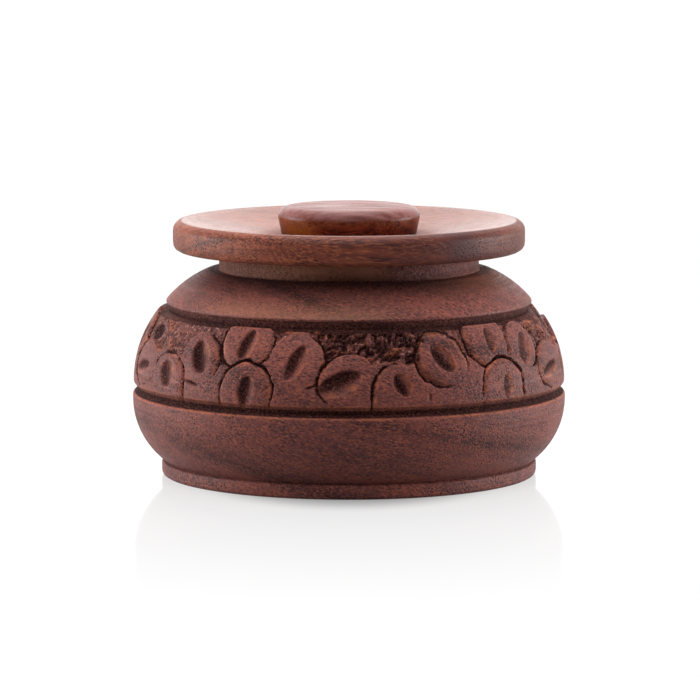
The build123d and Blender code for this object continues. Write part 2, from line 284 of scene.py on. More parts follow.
def half_section(corners, step):
    """A chain of (radius, height) points through corners of (radius, height, rounding): each rounding is
    a curve that leaves one side and joins the next, and straight runs are split at about step."""
    points = [np.array(corners[0][:2], float)]
    for before, corner, after in zip(corners, corners[1:], corners[2:]):
        here = np.array(corner[:2], float)
        back = np.array(before[:2]) - here
        ahead = np.array(after[:2]) - here
        reach = min(corner[2], 0.45 * np.hypot(*back), 0.45 * np.hypot(*ahead))
        if reach == 0:
            points.append(here)
            continue
        start = here + back / np.hypot(*back) * reach
        end = here + ahead / np.hypot(*ahead) * reach
        share = np.linspace(0, 1, ARC_STEPS + 1)[:, None]
        points.extend((1 - share) ** 2 * start + 2 * share * (1 - share) * here + share ** 2 * end)
    points.append(np.array(corners[-1][:2], float))
    chain = [points[0][None]]
    for start, end in zip(points, points[1:]):
        pieces = max(1, math.ceil(np.hypot(*(end - start)) / step - 0.3))
        share = np.linspace(0, 1, pieces + 1)[1:, None]
        chain.append(start + (end - start) * share)
    return np.concatenate(chain)


def outward_normals(section):
    """Unit normals of a half section that runs upwards on the outside."""
    along = np.gradient(section, axis=0)
    along /= np.hypot(along[:, 0], along[:, 1])[:, None]
    return np.stack([along[:, 1], -along[:, 0]], axis=1)


# Meshes of rings

def turns(columns):
    """Angles of a ring's points: 0 is the front, they run towards the right and crowd towards the front."""
    even = np.arange(columns) * (2 * math.pi / columns)
    return even - FRONT_CROWD * np.sin(even)


def ring_points(radius, height, columns):
    """Rings of points for radius and height given as one value per row, or per row and column."""
    angle = turns(columns)
    radius, height = np.broadcast_arrays(radius, height)
    x = radius * np.sin(angle)
    y = -radius * np.cos(angle)
    return np.stack(np.broadcast_arrays(x, y, height), axis=-1)


def ring_faces(low, high):
    """Faces that join two rings of point numbers. Where one ring has several points for each of the
    other's, a face takes them all, and a ring of one point is a pole."""
    count = min(low.size, high.size)
    if count == 1:
        ring = max(low, high, key=len)
        pole = np.full_like(ring, min(low, high, key=len)[0])
        after = np.roll(ring, -1)
        return np.stack([pole, after, ring] if low.size == 1 else [ring, after, pole], axis=1)
    runs = []
    for ring in (low, high):
        share = ring.size // count
        runs.append(np.stack([np.roll(ring, -k)[::share] for k in range(share + 1)], axis=1))
    return np.concatenate([runs[0], runs[1][:, ::-1]], axis=1)


def mesh_from_rings(name, rings, marks):
    """An object from a list of rings of points in millimetres, each ring joined to the next, with
    named marks that hold one value per point."""
    sizes = [len(ring) for ring in rings]
    starts = np.concatenate([[0], np.cumsum(sizes)])
    numbers = [np.arange(start, start + size) for start, size in zip(starts, sizes)]
    faces = []
    for low, high in zip(numbers, numbers[1:]):
        faces.extend(ring_faces(low, high).tolist())
    mesh = bpy.data.meshes.new(name)
    mesh.from_pydata(np.concatenate(rings) * MM, [], faces)
    mesh.polygons.foreach_set("use_smooth", np.ones(len(faces), bool))
    for mark, values in marks.items():
        attribute = mesh.attributes.new(mark, "FLOAT", "POINT")
        attribute.data.foreach_set("value", np.concatenate(values).astype(np.float32))
    mesh.update()
    piece = bpy.data.objects.new(name, mesh)
    bpy.context.scene.collection.objects.link(piece)
    return piece


# The carver's hand

def ripples(angle, height, random, round_counts, up_counts):
    """A random field in about -1 to 1: a sum of waves with whole counts round the box, so that it closes,
    and up_counts waves per millimetre of height."""
    total = np.zeros(np.broadcast(angle, height).shape)
    for _ in range(RIPPLE_TERMS):
        across = random.integers(*round_counts)
        up = random.uniform(*up_counts) * random.choice([-1, 1])
        total += np.cos(across * angle + 2 * math.pi * up * height + random.uniform(0, 2 * math.pi))
    return total / math.sqrt(RIPPLE_TERMS)


def spot(angle, height, turn, rise, lean):
    """Millimetres along and across a leaning axis from a spot on the band."""
    mid_radius = (BAND_FOOT_R + BAND_TOP_R) / 2
    aside = (angle - math.radians(turn) + math.pi) % (2 * math.pi) - math.pi
    aside = aside * mid_radius
    up = height - BAND_FOOT_Z - rise
    sine = math.sin(math.radians(lean))
    cosine = math.cos(math.radians(lean))
    return aside * sine + up * cosine, aside * cosine - up * sine


def leaf_distance(leaf, along, across):
    """Millimetres outside a leaf's outline, negative within. A leaf is an ellipse, by its usual distance
    estimate, and an arch is a half circle on straight sides."""
    if leaf.shape == "arch":
        return np.hypot(np.maximum(along, 0), across) - leaf.half_width
    level = np.hypot(along / leaf.half_length, across / leaf.half_width)
    slope = np.hypot(along / leaf.half_length ** 2, across / leaf.half_width ** 2)
    return level * (level - 1) / np.maximum(slope, 1e-6)


def facing(leaf, along, across, side):
    """1 on the side of a leaf that a direction points to, falling to 0 on the opposite side."""
    toward = math.radians(side - 90 + leaf.lean)
    return 0.5 + 0.5 * np.cos(np.arctan2(-across, along) - toward)


def outline_strength(leaf, along, across, uneven):
    """How hard a leaf's outline is cut in each direction from its middle."""
    strength = leaf.cut_rest + (1 - leaf.cut_rest) * facing(leaf, along, across, leaf.cut_side) ** 3
    strength = strength + UNEVEN_CUT * uneven
    if leaf.open_side is not None:
        strength = strength * (1 - facing(leaf, along, across, leaf.open_side) ** 6)
    return np.clip(strength, LEAST_CUT, MOST_CUT)


def outline_cut(leaf, outside, strength):
    """The cut round a leaf, by millimetres outside its edge: its depth, the distance from the line of
    painted shade at its bottom in half widths of that line, and how well a point lies on its slanted wall.
    The cut slants down from the leaf's edge, climbs out steeply and is wider where it is harder."""
    width = CUT_WIDTH * leaf.cut_width * strength
    place = outside / width
    down = LEAF_EDGE_DROP + (CUT_DEPTH - LEAF_EDGE_DROP) * place / CUT_LOW
    out = CUT_DEPTH * (1 - place) / (1 - CUT_LOW)
    depth = strength * np.clip(np.minimum(down, out), 0, None)
    from_line = np.abs(outside - CUT_LOW * width) / (LINE_WIDTH / 2 * (0.4 + 0.6 * strength))
    on_wall = np.clip(1 - np.abs(place / CUT_LOW - 0.4) / 0.4, 0, 1) * smooth_step(0.5, 0.9, width)
    return depth, from_line, on_wall


def gouge_cut(gouge, along, across):
    """An oval gouge: its depth as a share of the full depth, the painted shade of each point, darkest by its
    left wall, and its wear with a painted highlight on its right half and rim. It falls steeply from its
    left rim, and climbs gently to its right rim, which catches the light."""
    widest = gouge.half_width * GOUGE_SPREAD
    half_width = widest * np.sqrt(np.clip(1 - (along / gouge.half_length) ** 2, 0, 1))
    place = across / np.maximum(half_width, 1e-6)
    left_wall = (place + 1) / (GOUGE_LOW + 1)
    right_wall = (1 - place) / (1 - GOUGE_LOW)
    fall = np.clip(np.minimum(left_wall, right_wall), 0, 1)
    share = np.sqrt(half_width / widest)
    shade = smooth_step(0, 0.3, left_wall) * smooth_step(0, 0.25, right_wall) * share
    shade = shade * (0.2 + 0.8 * smooth_step(0.25, 0.75, right_wall))
    # painted highlight along the gouge's right rim, where it catches the light
    rim = np.exp(-((across - half_width) / GOUGE_RIM_WIDTH) ** 2) * (np.abs(along) < gouge.half_length)
    # painted highlight on the gouge's right half
    lit_flank = 0.6 * smooth_step(0.1, 0.8, place) * (fall > 0)
    return fall ** 0.8 * share, shade, np.maximum(rim, lit_flank)


def chip_marks(angle, height, random):
    """Depth of the chips in the ground as a share of the deepest: each chip is a dent whose depth is a
    paraboloid, and the deepest dent at a point counts, which leaves sharp ridges between chips."""
    deepest = np.zeros(np.broadcast(angle, height).shape)
    for middle, count, share in CHIPPED_GROUND:
        for _ in range(count):
            turn = middle + random.uniform(-CHIPPED_SPAN, CHIPPED_SPAN)
            rise = random.uniform(GROUND_RISE - 0.6, BAND_TOP_Z - BAND_FOOT_Z)
            along, across = spot(angle, height, turn, rise, random.normal(40, 35))
            half_length = random.uniform(*CHIP_HALF_LENGTH)
            half_width = random.uniform(*CHIP_HALF_WIDTH)
            dent = 1 - (along / half_length) ** 2 - (across / half_width) ** 2
            deepest = np.maximum(deepest, share * random.uniform(0.35, 1) * dent)
    for turn, rise, half_width, half_height in POCKETS:
        up, aside = spot(angle, height, turn, rise, 0)
        deepest = np.maximum(deepest, 1 - (aside / half_width) ** 2 - (up / half_height) ** 2)
    return deepest


class Carving:
    """The band's carving over a grid of angles and heights: its depth, and for the finish the distance from
    the line of painted shade of the nearest outline, how hard that outline was cut, how much painted shade
    and roughness each point has, and its wear with painted highlights."""

    def __init__(self, angle, height):
        """The ground comes first. It is cut back and chipped, and ridges between chips show wear."""
        random = np.random.default_rng(CARVING_SEED)
        self.angle = angle
        self.height = height
        self.wobble = HAND_WOBBLE * ripples(angle, height, random, *WOBBLE_WAVES)
        self.uneven = ripples(angle, height, random, *UNEVEN_WAVES)
        self.patchy = np.clip(0.55 + 0.6 * self.uneven, 0, 1)
        chips = chip_marks(angle, height, random)
        ground = smooth_step(*GROUND_FADE, height - BAND_FOOT_Z - GROUND_RISE + 3 * self.wobble)
        ground_edge = 4 * ground * (1 - ground)
        ridges = ground * np.exp(-((chips - RIDGE_AT) / RIDGE_WIDTH) ** 2)
        self.depth = ground * (GROUND_DEPTH + CHIP_DEPTH * chips)
        # painted shade in the deeper chips
        self.dark = ground * smooth_step(*CHIP_SHADE, chips)
        self.rough = ground
        self.worn = np.maximum(ground_edge, RIDGE_WEAR * ridges) * self.patchy
        self.line = np.full_like(self.depth, FAR_FROM_CUTS)
        self.hardness = np.zeros_like(self.depth)

    def from_middle(self, drawn, turn=0):
        """Millimetres along and across a leaf or gouge from its centre, with its spray at a turn."""
        return spot(self.angle, self.height, turn + drawn.turn, drawn.rise, drawn.lean)

    def cut_leaf(self, leaf, turn):
        """A leaf stands over what lies behind it, with an outline cut round it, whose edge shows wear."""
        along, across = self.from_middle(leaf, turn)
        outside = leaf_distance(leaf, along, across) + self.wobble
        inside = outside < 0
        strength = outline_strength(leaf, along, across, self.uneven)
        cut, from_line, on_wall = outline_cut(leaf, outside, strength)
        edge = LEAF_EDGE_DROP * strength * np.clip(1 + outside / LEAF_EDGE_WIDTH, 0, 1) ** 2
        fringe = np.exp(-((outside - FRINGE_AT) / FRINGE_WIDTH) ** 2) * (0.4 + 0.6 * self.patchy)
        rim = np.maximum(fringe, on_wall) * strength
        nearer = inside | (from_line < self.line)
        self.line = np.where(nearer, from_line, self.line)
        self.hardness = np.where(nearer, strength, self.hardness)
        self.depth = np.where(inside, edge, np.maximum(self.depth, cut))
        self.dark = np.maximum(self.dark, WALL_DARK * on_wall * strength)
        self.worn = np.where(inside, rim, np.maximum(self.worn, rim))
        self.cut_gouge(leaf.gouge, turn, inside)

    def cut_gouge(self, gouge, turn, inside):
        """The gouge in a leaf's middle, which sets the painted shade and roughness of the inside of the
        leaf, and a painted highlight on its right rim.
        """
        along, across = self.from_middle(gouge, turn)
        hollow, shade, rim = gouge_cut(gouge, along + self.wobble, across + 0.6 * self.wobble)
        self.depth = self.depth + np.where(inside, gouge.depth * hollow, 0)
        # painted shade in the gouge, darkest by its left wall
        self.dark = np.where(inside, shade * gouge.depth / DARKEST_GOUGE, self.dark)
        self.rough = np.where(inside, 0.8 * hollow, self.rough)
        self.worn = np.where(inside, np.maximum(self.worn, rim * self.patchy), self.worn)

    def cut_stroke(self, stroke):
        """A stray knife stroke."""
        along, across = self.from_middle(stroke)
        hollow, shade, _ = gouge_cut(stroke, along + self.wobble, across + self.wobble)
        self.depth = np.maximum(self.depth, stroke.depth * hollow)
        # painted shade in a stray stroke
        self.dark = np.maximum(self.dark, shade)

    def lift_fibre(self, fibre):
        """A torn fibre, which stands up where a gouge of its shape would sink."""
        along, across = self.from_middle(fibre)
        lifted, _, _ = gouge_cut(fibre, along + self.wobble, across + 3 * self.wobble)
        self.depth = self.depth - fibre.depth * lifted
        self.dark = self.dark * (1 - lifted)
        self.worn = np.maximum(self.worn, lifted)

    def marks(self, fade):
        """Marks for the finish, times a fade, apart from the distance from a line."""
        fading = {"hardness": self.hardness, "cut": self.dark, "rough": self.rough, "worn": self.worn}
        marks = {name: np.clip(values, 0, None) * fade for name, values in fading.items()}
        marks["line"] = np.clip(self.line, 0, FAR_FROM_CUTS)
        return marks


def carve(angle, height):
    """The whole carving: its ground, its leaves spray by spray, and then stray strokes and torn fibres."""
    carving = Carving(angle, height)
    for middle, spray in SPRAYS:
        for leaf in spray:
            carving.cut_leaf(leaf, middle)
    for stroke in STRAY_CUTS:
        carving.cut_stroke(stroke)
    for fibre in TORN_FIBRES:
        carving.lift_fibre(fibre)
    return carving


# Pieces

def closeness(section, corners, width):
    """1 at the listed corners of a half section, fading over width."""
    away = np.min([np.hypot(*(section - corner).T) for corner in corners], axis=0)
    return np.exp(-(away / width) ** 2)


def plain_rings(section, marks):
    """Rings of a plain turned stretch, with marks that hold a value or a ring of values per row. A point
    on the axis is a pole."""
    rings = []
    values = {name: [] for name in marks}
    for row, (radius, height) in enumerate(section):
        columns = COLUMNS if radius > 0 else 1
        rings.append(ring_points(radius, height, columns))
        for name, rows in marks.items():
            values[name].append(np.broadcast_to(rows[row], COLUMNS)[:columns])
    return rings, values


def flank_shade(section, lip, groove):
    """How much painted shade darkens each point of a half section between a lip and the groove below or
    above it.
    """
    along = np.subtract(groove, lip)
    share = (section - lip) @ along / (along @ along)
    beside = np.abs((section - lip) @ np.array([along[1], -along[0]])) / np.hypot(*along)
    return smooth_step(*FLANK_FADE, share) * (beside < FLANK_REACH) * (share < 1.01)


def side_share(side, columns=COLUMNS):
    """How strong a mark of one side is in each column: an S curve of the cosine of the angle from the
    middle of that side."""
    facing_it = np.cos(turns(columns) - math.radians(side.turn))
    return side.strength * smooth_step(side.begins, side.full, facing_it)


def plain_marks(section):
    """Marks of the bowl's uncarved stretches: painted shade in the grooves and corners, a belly lip with
    wear and a painted highlight, a painted shadow of the lid round the neck, painted light on parts of the
    shoulder, and a neck with painted shade at its foot and sides, pale sapwood at its left with painted
    light on its front, and torn grain at its right."""
    radius = section[:, :1]
    height = section[:, 1:]
    flanks = [
        ((BELLY_R, BELLY_LIP_Z), (LOWER_GROOVE_R, LOWER_GROOVE_Z)),
        ((SHOULDER_LIP_R, SHOULDER_LIP_Z), (UPPER_GROOVE_R, UPPER_GROOVE_Z)),
    ]
    # painted shade on the flanks below the belly lip and under the shoulder's lip
    grooves = np.max([flank_shade(section, lip, groove) for lip, groove in flanks], axis=0)[:, None]
    # painted shade in the corners of the foot's notch and of the neck's foot
    shaded_corners = [(FOOT_NOTCH_R, FOOT_NOTCH_Z), (NECK_R, LEDGE_Z)]
    corners = CORNER_SHADE * closeness(section, shaded_corners, CORNER_WIDTH)[:, None]
    on_shoulder = (height > SHOULDER_LIP_Z) & (radius > NECK_R)
    outer = smooth_step(PAINTED_LIGHT_EDGE_R, SHOULDER_LIP_R, radius) * on_shoulder
    by_neck = smooth_step(LID_SHADOW_R, LEDGE_R, radius) * on_shoulder
    # painted shadow of the lid on the shoulder next to the neck
    lid_shadow = by_neck * side_share(PAINTED_LID_SHADOW)
    neck = smooth_step(*NECK_FADE, height - LEDGE_Z) * (radius > (MOUTH_R + NECK_R) / 2)
    # painted shade under the lid, on the neck's sides and towards its foot
    shaded_neck_sides = np.maximum(side_share(PAINTED_SHADE_NECK_RIGHT), side_share(PAINTED_SHADE_NECK_LEFT))
    shaded_neck_foot = NECK_FOOT_SHADE_DARK * smooth_step(*NECK_FOOT_SHADE, height - LEDGE_Z)
    shaded_neck = neck * np.maximum(shaded_neck_sides, shaded_neck_foot)
    # pale sapwood at the neck's left, with painted light added at its front
    pale_neck = neck * side_share(PALE_NECK) * (NECK_PALE + side_share(PAINTED_LIGHT_NECK_FRONT))
    # painted light on the shoulder's outer edge and on the ledge at the right
    painted_light_shoulder = outer * side_share(PAINTED_LIGHT_SHOULDER_EDGE) + by_neck * side_share(PAINTED_LIGHT_LEDGE)
    nothing = np.zeros(len(section))
    return {
        "line": nothing + FAR_FROM_CUTS,
        "hardness": nothing,
        "cut": np.max(np.broadcast_arrays(grooves, corners, lid_shadow, shaded_neck), axis=0),
        "rough": neck * side_share(TORN_NECK),
        # wear and a painted highlight along the belly lip
        "worn": closeness(section, [(BELLY_R, BELLY_LIP_Z)], BELLY_LIP_WIDTH)[:, None],
        "sapwood_and_painted_light": pale_neck + painted_light_shoulder,
    }


def lower_section():
    """Half section of the bowl from the middle of its underside to its lower groove."""
    return half_section([
        (0, 0, 0),
        (FOOT_R, 0, FOOT_LOW_ROUND),
        (FOOT_R, FOOT_Z, FOOT_TOP_ROUND),
        (FOOT_NOTCH_R, FOOT_NOTCH_Z, NOTCH_ROUND),
        *upright_arc((BELLY_R, BELLY_Z), (WALL_FOOT_R, WALL_FOOT_Z), BELLY_PIECES)[::-1],
        (BELLY_R, BELLY_LIP_Z, BELLY_LIP_ROUND),
        (LOWER_GROOVE_R, LOWER_GROOVE_Z, 0),
    ], PLAIN_STEP)


def band_section():
    """Half section of the bowl's band, from groove to groove."""
    return half_section([
        (LOWER_GROOVE_R, LOWER_GROOVE_Z, 0),
        (BAND_FOOT_R, BAND_FOOT_Z, BAND_FOOT_ROUND),
        *upright_arc((BAND_FOOT_R, BAND_FOOT_Z), (BAND_TOP_R, BAND_TOP_Z), BAND_PIECES)[1:-1],
        (BAND_TOP_R, BAND_TOP_Z, BAND_TOP_ROUND),
        (UPPER_GROOVE_R, UPPER_GROOVE_Z, 0),
    ], BAND_STEP)


def floor_corner():
    """Points of the quarter circle between the cavity's widest ring and its floor."""
    size = BAND_FOOT_Z - FLOOR_Z
    middle_r = CAVITY_R - size
    angles = np.linspace(0, math.pi / 2, FLOOR_CORNER_PIECES + 1)[1:]
    return [(middle_r + size * math.cos(a), BAND_FOOT_Z - size * math.sin(a), 0) for a in angles]


def upper_section():
    """Half section of the bowl from its upper groove over the neck to the middle of its cavity's floor."""
    lip = (SHOULDER_LIP_R, SHOULDER_LIP_Z)
    return half_section([
        (UPPER_GROOVE_R, UPPER_GROOVE_Z, 0),
        (*lip, SHOULDER_LIP_ROUND),
        *bulged_line(lip, (LEDGE_R, LEDGE_Z), SHOULDER_CROWN, SHOULDER_PIECES)[1:-1],
        (LEDGE_R, LEDGE_Z, LEDGE_ROUND),
        (NECK_R, LEDGE_Z, NECK_FOOT_ROUND),
        (NECK_R, NECK_TOP_Z, NECK_TOP_ROUND),
        (MOUTH_R, NECK_TOP_Z, MOUTH_TOP_ROUND),
        (MOUTH_R, MOUTH_FOOT_Z, MOUTH_FOOT_ROUND),
        *upright_arc((CAVITY_R, BAND_FOOT_Z), (MOUTH_R, MOUTH_FOOT_Z), CAVITY_PIECES)[-2::-1],
        *floor_corner(),
        (0, FLOOR_Z, 0),
    ], PLAIN_STEP)


def carved_band():
    """Rings of the band and their marks: its points sink along the surface's normal by the depth of the
    carving, which fades out towards the flanks of the two grooves, darkened with painted shade."""
    band = band_section()
    radius = band[:, :1]
    height = band[:, 1:]
    carving = carve(turns(BAND_COLUMNS), height)
    fade = smooth_step(LOWER_GROOVE_Z, BAND_FOOT_Z, height) * smooth_step(UPPER_GROOVE_R, BAND_TOP_R, radius)
    sunk = outward_normals(band)[:, :, None] * (carving.depth * fade)[:, None, :]
    rings = ring_points(radius - sunk[:, 0], height - sunk[:, 1], BAND_COLUMNS)
    lips = [(BAND_FOOT_R, BAND_FOOT_Z), (BAND_TOP_R, BAND_TOP_Z)]
    worn_lips = BAND_LIP_WORN * closeness(band, lips, BAND_LIP_WIDTH)[:, None]
    # painted shade on the facet below the band and on both grooves' flanks
    facet = smooth_step(*FACET_FADE, height - BAND_FOOT_Z)
    low_flank = np.maximum(FACET_DARK * facet, smooth_step(*LOW_FLANK_FADE, height - BAND_FOOT_Z))
    high_flank = smooth_step(BAND_TOP_R, BAND_TOP_R - HIGH_FLANK_WIDTH, radius)
    high_flank = high_flank * (HIGH_FLANK_DARK + side_share(PAINTED_SHADE_GROOVE_FRONT, BAND_COLUMNS))
    marks = carving.marks(fade)
    marks["cut"] = np.maximum(marks["cut"], np.maximum(low_flank, high_flank))
    marks["worn"] = np.maximum(marks["worn"], np.maximum(worn_lips, FACET_WORN * facet))
    marks["sapwood_and_painted_light"] = np.zeros_like(carving.depth)
    return list(rings[1:-1]), {name: list(values[1:-1]) for name, values in marks.items()}


def make_bowl():
    """The bowl: two plain stretches turned about Z, with the finer carved band between them."""
    lower = lower_section()
    upper = upper_section()
    low_rings, low_marks = plain_rings(lower, plain_marks(lower))
    band_rings, band_marks = carved_band()
    high_rings, high_marks = plain_rings(upper, plain_marks(upper))
    marks = {name: low_marks[name] + band_marks[name] + high_marks[name] for name in low_marks}
    return mesh_from_rings("bowl_carved", low_rings + band_rings + high_rings, marks)


def make_lid():
    """The dished lid with its plug and socket, turned about Z. Its rim has dark heartwood at the right, and
    a painted shadow of the knob darkens its dish towards the knob."""
    section = half_section([
        (0, PLUG_END_Z, 0),
        (PLUG_R - PLUG_CHAMFER, PLUG_END_Z, SMALL_ROUND),
        (PLUG_R, PLUG_END_Z + PLUG_CHAMFER, SMALL_ROUND),
        (PLUG_R, NECK_TOP_Z, SMALL_ROUND),
        (LID_R, NECK_TOP_Z, LID_LOW_ROUND),
        *upright_arc((LID_R, LID_TOP_Z - LID_R + DISH_EDGE_R), (DISH_EDGE_R, LID_TOP_Z), EDGE_PIECES),
        (KNOB_SEAT_R, KNOB_SEAT_Z, SMALL_ROUND),
        (SOCKET_R, KNOB_SEAT_Z, FITTED_ROUND),
        (SOCKET_R, SOCKET_END_Z, SMALL_ROUND),
        (0, SOCKET_END_Z, 0),
    ], PLAIN_STEP)
    rim = smooth_step(DISH_EDGE_R - 2, DISH_EDGE_R, section[:, :1])
    heart = rim * (side_share(DARK_HEARTWOOD) + side_share(DARK_SMUDGE))
    dish = 1.0 * (section[:, 0] < DISH_EDGE_R + 0.1) * (section[:, 1] > NECK_TOP_Z)
    # painted shadow of the knob on the dish
    knob_shadow = dish * smooth_step(KNOB_SHADOW_R, KNOB_SEAT_R, section[:, 0])
    worn = closeness(section, [(LID_R, LID_TOP_Z), (LID_R, NECK_TOP_Z)], LID_EDGE_WIDTH)
    marks = {"worn": worn, "heart": heart, "dish": dish, "knob_shadow": knob_shadow}
    return mesh_from_rings("lid_dished", *plain_rings(section, marks))


def make_knob():
    """The flared knob with its tenon, turned about Z, with a painted sheen on its bevel, a top with red
    streaks and a painted glow of light at its left.
    """
    top_edge = (KNOB_TOP_EDGE_R, KNOB_TOP_EDGE_Z)
    section = half_section([
        (0, TENON_END_Z, 0),
        (TENON_R, TENON_END_Z, TENON_ROUND),
        (TENON_R, KNOB_SEAT_Z, FITTED_ROUND),
        (KNOB_BASE_R, KNOB_SEAT_Z, SMALL_ROUND),
        *upright_arc((KNOB_R, KNOB_WIDE_Z), top_edge, EDGE_PIECES),
        *bulged_line(top_edge, (0, KNOB_TOP_Z), KNOB_TOP_CROWN, KNOB_TOP_PIECES)[1:-1],
        (0, KNOB_TOP_Z, 0),
    ], PLAIN_STEP)
    worn = closeness(section, [(KNOB_R, KNOB_WIDE_Z)], KNOB_EDGE_WIDTH)
    below_bevel = smooth_step(KNOB_WIDE_Z + 0.2, KNOB_WIDE_Z - 0.4, section[:, 1:])
    # painted light: an orange glow on the knob's left side
    glow = below_bevel * side_share(GLOWING_KNOB)
    on_bevel = section[:, 0] > KNOB_TOP_EDGE_R - 0.1
    # painted sheen on the knob's bevel
    bevel_sheen = smooth_step(KNOB_WIDE_Z, KNOB_WIDE_Z + 0.5, section[:, 1]) * on_bevel
    top = 1.0 * (section[:, 1] > KNOB_WIDE_Z) * (section[:, 0] <= KNOB_TOP_EDGE_R)
    marks = {"worn": worn, "glow": glow, "bevel_sheen": bevel_sheen, "top": top}
    return mesh_from_rings("knob_flared", *plain_rings(section, marks))


# Shader nodes

def add(tree, kind, inputs=None, **settings):
    """A new node with its settings, and its inputs set to values or linked to sockets."""
    made = tree.nodes.new(kind)
    for name, value in settings.items():
        setattr(made, name, value)
    for name, value in (inputs or {}).items():
        if isinstance(value, bpy.types.NodeSocket):
            tree.links.new(value, made.inputs[name])
        else:
            made.inputs[name].default_value = value
    return made


def math_node(tree, operation, first, second=0.0):
    """The result of a two-number operation."""
    return add(tree, "ShaderNodeMath", {0: first, 1: second}, operation=operation).outputs[0]


def product(tree, first, second):
    """Two numbers multiplied."""
    return math_node(tree, "MULTIPLY", first, second)


def spread(tree, value, low, high, to_low=0.0, to_high=1.0):
    """A value taken from one range to another along an S curve, and held at the ends."""
    ranges = {"Value": value, "From Min": low, "From Max": high, "To Min": to_low, "To Max": to_high}
    return add(tree, "ShaderNodeMapRange", ranges, interpolation_type="SMOOTHSTEP").outputs["Result"]


def mixed(tree, share, first, second):
    """One number mixed into another by a share."""
    return add(tree, "ShaderNodeMix", {0: share, 2: first, 3: second}).outputs[0]


def blend(tree, share, first, second):
    """One colour mixed into another by a share."""
    return add(tree, "ShaderNodeMix", {0: share, 6: first, 7: second}, data_type="RGBA").outputs[2]


def vector_node(tree, operation, *vectors):
    """The outputs of an operation on vectors."""
    return add(tree, "ShaderNodeVectorMath", dict(enumerate(vectors)), operation=operation).outputs


def scaled(tree, vector, factors):
    """A vector with each of its parts multiplied by a factor of its own."""
    return vector_node(tree, "MULTIPLY", vector, factors)[0]


def stretched(tree, vector, along):
    """A vector whose fibre direction, X, is squeezed so that what it drives runs long."""
    return scaled(tree, vector, (along, 1, 1))


def length(tree, vector):
    """How long a vector is."""
    return vector_node(tree, "LENGTH", vector)["Value"]


def in_millimetres(tree):
    """A point's place on its piece, in millimetres."""
    return scaled(tree, add(tree, "ShaderNodeTexCoord").outputs["Object"], (1 / MM,) * 3)


def noise(tree, vector, scale, detail=2.0, roughness=0.5, output=0):
    """A cloud noise of a scaled vector."""
    settings = {"Vector": vector, "Scale": scale, "Detail": detail, "Roughness": roughness}
    return add(tree, "ShaderNodeTexNoise", settings).outputs[output]


def noise_along(tree, value, scale, detail, roughness):
    """A noise of a single scaled number."""
    settings = {"W": value, "Scale": scale, "Detail": detail, "Roughness": roughness}
    return add(tree, "ShaderNodeTexNoise", settings, noise_dimensions="1D").outputs[0]


def new_group(name, numbers, results):
    """An empty node group that takes a Vector and named numbers and puts out named numbers, with the sockets
    inside it that hold what it takes and what it puts out."""
    group = bpy.data.node_groups.new(name, "ShaderNodeTree")
    group.interface.new_socket("Vector", in_out="INPUT", socket_type="NodeSocketVector")
    for number in numbers:
        group.interface.new_socket(number, in_out="INPUT", socket_type="NodeSocketFloat")
    for result in results:
        group.interface.new_socket(result, in_out="OUTPUT", socket_type="NodeSocketFloat")
    return group, group.nodes.new("NodeGroupInput").outputs, group.nodes.new("NodeGroupOutput").inputs


def grain_group():
    """The grain of the dark wood in millimetres: X runs along the fibres, and the growth layers are
    cylinders round X. One dark streak comes with each layer gap, Dash is a fleck's width as a share
    of its length, and pores lie about a pore gap apart."""
    group, given, results = new_group(
        "rosewood_grain", ["Layer Gap", "Dash", "Pore Gap"], ["Tone", "Streak", "Fleck", "Pore", "Fibre"])
    place = given["Vector"]
    sway = noise(group, stretched(group, place, 0.3), scale=0.08, output="Color")
    sway = vector_node(group, "MULTIPLY_ADD", sway, (GRAIN_SWAY,) * 3, (-GRAIN_SWAY / 2,) * 3)[0]
    swayed = vector_node(group, "ADD", place, sway)[0]
    radius = length(group, stretched(group, swayed, 0.0))
    per_layer = math_node(group, "DIVIDE", 2 * math.pi, given["Layer Gap"])
    wave = math_node(group, "SINE", product(group, radius, per_layer))
    fading = spread(group, noise(group, stretched(group, place, 0.4), scale=0.11), 0.3, 0.55, 0.3, 1.0)
    soft = product(group, spread(group, wave, 0.6, 0.98), 0.5)
    thin = product(group, spread(group, wave, 0.95, 0.995), 0.5)
    streak = product(group, math_node(group, "ADD", soft, thin), fading)
    fine_layers = noise_along(group, radius, scale=1.1, detail=3.0, roughness=0.65)
    clouds = noise(group, stretched(group, swayed, 0.15), scale=0.2, detail=3.0, roughness=0.6)
    tone = math_node(group, "ADD", product(group, clouds, 0.6), product(group, fine_layers, 0.4))
    squeeze = add(group, "ShaderNodeCombineXYZ", {0: given["Dash"], 1: 1.0, 2: 1.0}).outputs[0]
    dashes = scaled(group, place, squeeze)
    clusters = spread(group, noise(group, dashes, scale=0.9), 0.35, 0.65, 0.3, 1.0)
    fleck = spread(group, noise(group, dashes, scale=5.0, roughness=0.65), 0.48, 0.64)
    per_pore = math_node(group, "DIVIDE", 1.0, given["Pore Gap"])
    pores = add(group, "ShaderNodeTexVoronoi", {"Vector": dashes, "Scale": per_pore}).outputs["Distance"]
    in_rows = spread(group, noise(group, stretched(group, swayed, 0.3), scale=0.4), 0.4, 0.58, 0.15, 1.0)
    group.links.new(spread(group, tone, 0.38, 0.62), results["Tone"])
    group.links.new(streak, results["Streak"])
    group.links.new(product(group, fleck, clusters), results["Fleck"])
    group.links.new(product(group, spread(group, pores, 0.42, 0.2), in_rows), results["Pore"])
    group.links.new(noise(group, dashes, scale=4.5, detail=3.0, roughness=0.75), results["Fibre"])
    return group


